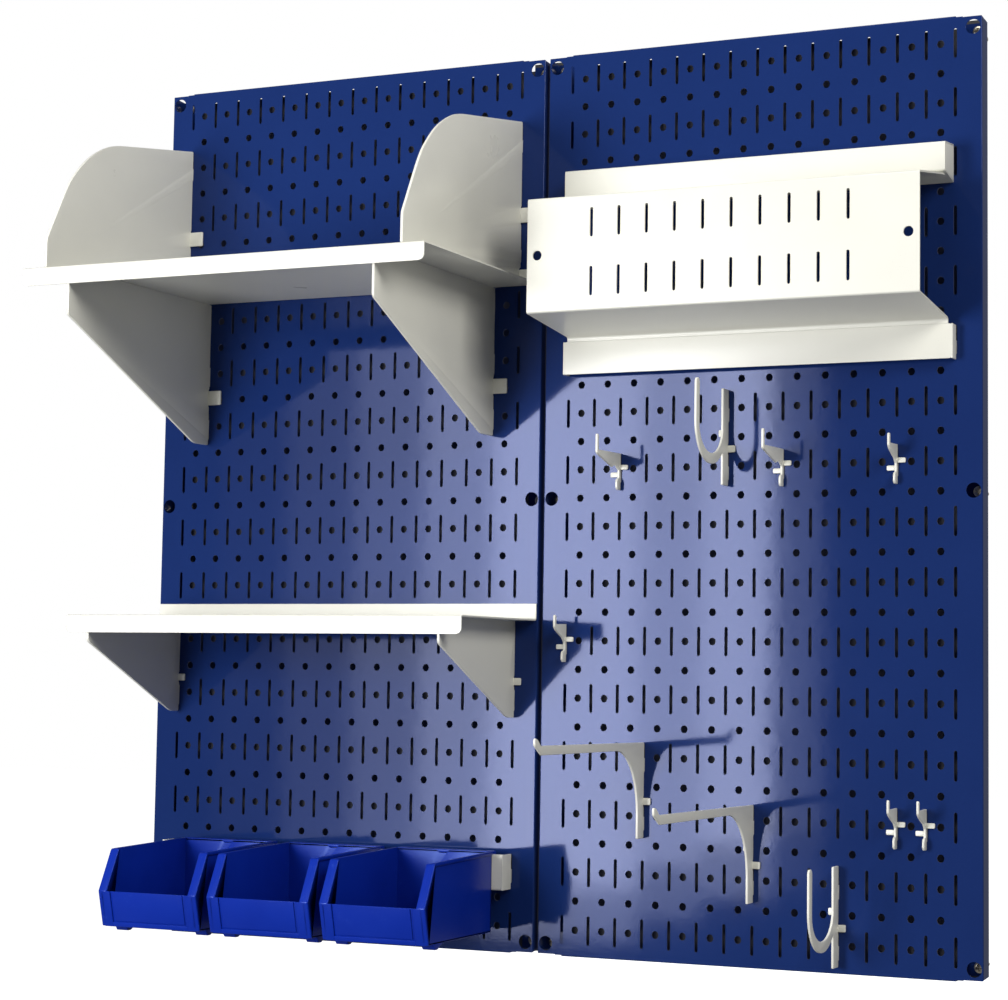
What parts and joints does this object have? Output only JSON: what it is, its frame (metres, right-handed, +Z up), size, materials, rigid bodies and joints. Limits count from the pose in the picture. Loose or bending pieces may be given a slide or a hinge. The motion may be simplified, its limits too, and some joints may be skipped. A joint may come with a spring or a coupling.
{
  "type": "pegboard tool wall",
  "caption": "Slotted steel pegboard panels fixed to a wall, hung with shelves, shelf dividers, a stand-off tool holder, small-parts bins on a rail, and plate hooks in several shapes.",
  "frame": {"origin": "on the wall's surface, at the seam between the two panels, level with the bottom line of the slot grid", "axes": "+X to the right along the wall, +Y into the wall, +Z up"},
  "size_m": [0.8084, 0.2775, 0.8084],
  "materials": {
    "panel_blue": "semi-gloss powder coat",
    "white_coat": "satin powder coat",
    "zinc": "zinc plated",
    "bin_blue": "moulded, slightly glossy"
  },
  "bodies": {
    "board": {"panel_left": "panel_blue", "panel_right": "panel_blue", "screw_left_1": "zinc", "screw_left_2": "zinc", "screw_left_3": "zinc", "screw_left_4": "zinc", "screw_left_5": "zinc", "screw_left_6": "zinc", "screw_right_1": "zinc", "screw_right_2": "zinc", "screw_right_3": "zinc", "screw_right_4": "zinc", "screw_right_5": "zinc", "screw_right_6": "zinc"},
    "shelf_upper": {"shelf_upper_tray": "white_coat", "shelf_upper_bracket_left": "white_coat", "shelf_upper_bracket_right": "white_coat"},
    "divider_left": {"shelf_divider_left": "white_coat"},
    "divider_right": {"shelf_divider_right": "white_coat"},
    "shelf_lower": {"shelf_lower_tray": "white_coat", "shelf_lower_bracket_left": "white_coat", "shelf_lower_bracket_right": "white_coat"},
    "tool_holder": {"tool_holder_tray": "white_coat", "tool_holder_rail": "white_coat"},
    "bin_rail": {"bin_rail": "white_coat"},
    "bin_left": {"bin_left": "bin_blue"},
    "bin_middle": {"bin_middle": "bin_blue"},
    "bin_right": {"bin_right": "bin_blue"},
    "hook_long_left": {"hook_long_left": "white_coat"},
    "hook_long_right": {"hook_long_right": "white_coat"},
    "hook_short_top": {"hook_short_top": "white_coat"},
    "hook_short_seam": {"hook_short_seam": "white_coat"},
    "hook_short_low_left": {"hook_short_low_left": "white_coat"},
    "hook_short_low_right": {"hook_short_low_right": "white_coat"},
    "hook_cradle_upper": {"hook_cradle_upper": "white_coat"},
    "hook_cradle_lower": {"hook_cradle_lower": "white_coat"},
    "hook_arm_left": {"hook_arm_left": "white_coat"},
    "hook_arm_right": {"hook_arm_right": "white_coat"}
  },
  "joints": [
    {"name": "shelf_upper_lift", "type": "slide", "parent": "board", "child": "shelf_upper", "axis": [0, 0, 1], "range_m": [0, 0.006]},
    {"name": "divider_left_lift", "type": "slide", "parent": "shelf_upper", "child": "divider_left", "axis": [0, 0, 1], "range_m": [0, 0.0065]},
    {"name": "divider_right_lift", "type": "slide", "parent": "shelf_upper", "child": "divider_right", "axis": [0, 0, 1], "range_m": [0, 0.0065]},
    {"name": "shelf_lower_lift", "type": "slide", "parent": "board", "child": "shelf_lower", "axis": [0, 0, 1], "range_m": [0, 0.006]},
    {"name": "tool_holder_lift", "type": "slide", "parent": "board", "child": "tool_holder", "axis": [0, 0, 1], "range_m": [0, 0.0125]},
    {"name": "bin_rail_lift", "type": "slide", "parent": "board", "child": "bin_rail", "axis": [0, 0, 1], "range_m": [0, 0.0125]},
    {"name": "bin_left_lift", "type": "slide", "parent": "bin_rail", "child": "bin_left", "axis": [0, 0, 1], "range_m": [0, 0.02]},
    {"name": "bin_middle_lift", "type": "slide", "parent": "bin_rail", "child": "bin_middle", "axis": [0, 0, 1], "range_m": [0, 0.02]},
    {"name": "bin_right_lift", "type": "slide", "parent": "bin_rail", "child": "bin_right", "axis": [0, 0, 1], "range_m": [0, 0.02]},
    {"name": "hook_long_left_lift", "type": "slide", "parent": "board", "child": "hook_long_left", "axis": [0, 0, 1], "range_m": [0, 0.0125]},
    {"name": "hook_long_right_lift", "type": "slide", "parent": "board", "child": "hook_long_right", "axis": [0, 0, 1], "range_m": [0, 0.0125]},
    {"name": "hook_short_top_lift", "type": "slide", "parent": "board", "child": "hook_short_top", "axis": [0, 0, 1], "range_m": [0, 0.0125]},
    {"name": "hook_short_seam_lift", "type": "slide", "parent": "board", "child": "hook_short_seam", "axis": [0, 0, 1], "range_m": [0, 0.0125]},
    {"name": "hook_short_low_left_lift", "type": "slide", "parent": "board", "child": "hook_short_low_left", "axis": [0, 0, 1], "range_m": [0, 0.0125]},
    {"name": "hook_short_low_right_lift", "type": "slide", "parent": "board", "child": "hook_short_low_right", "axis": [0, 0, 1], "range_m": [0, 0.0125]},
    {"name": "hook_cradle_upper_lift", "type": "slide", "parent": "board", "child": "hook_cradle_upper", "axis": [0, 0, 1], "range_m": [0, 0.0125]},
    {"name": "hook_cradle_lower_lift", "type": "slide", "parent": "board", "child": "hook_cradle_lower", "axis": [0, 0, 1], "range_m": [0, 0.0125]},
    {"name": "hook_arm_left_lift", "type": "slide", "parent": "board", "child": "hook_arm_left", "axis": [0, 0, 1], "range_m": [0, 0.0125]},
    {"name": "hook_arm_right_lift", "type": "slide", "parent": "board", "child": "hook_arm_right", "axis": [0, 0, 1], "range_m": [0, 0.0125]}
  ]
}
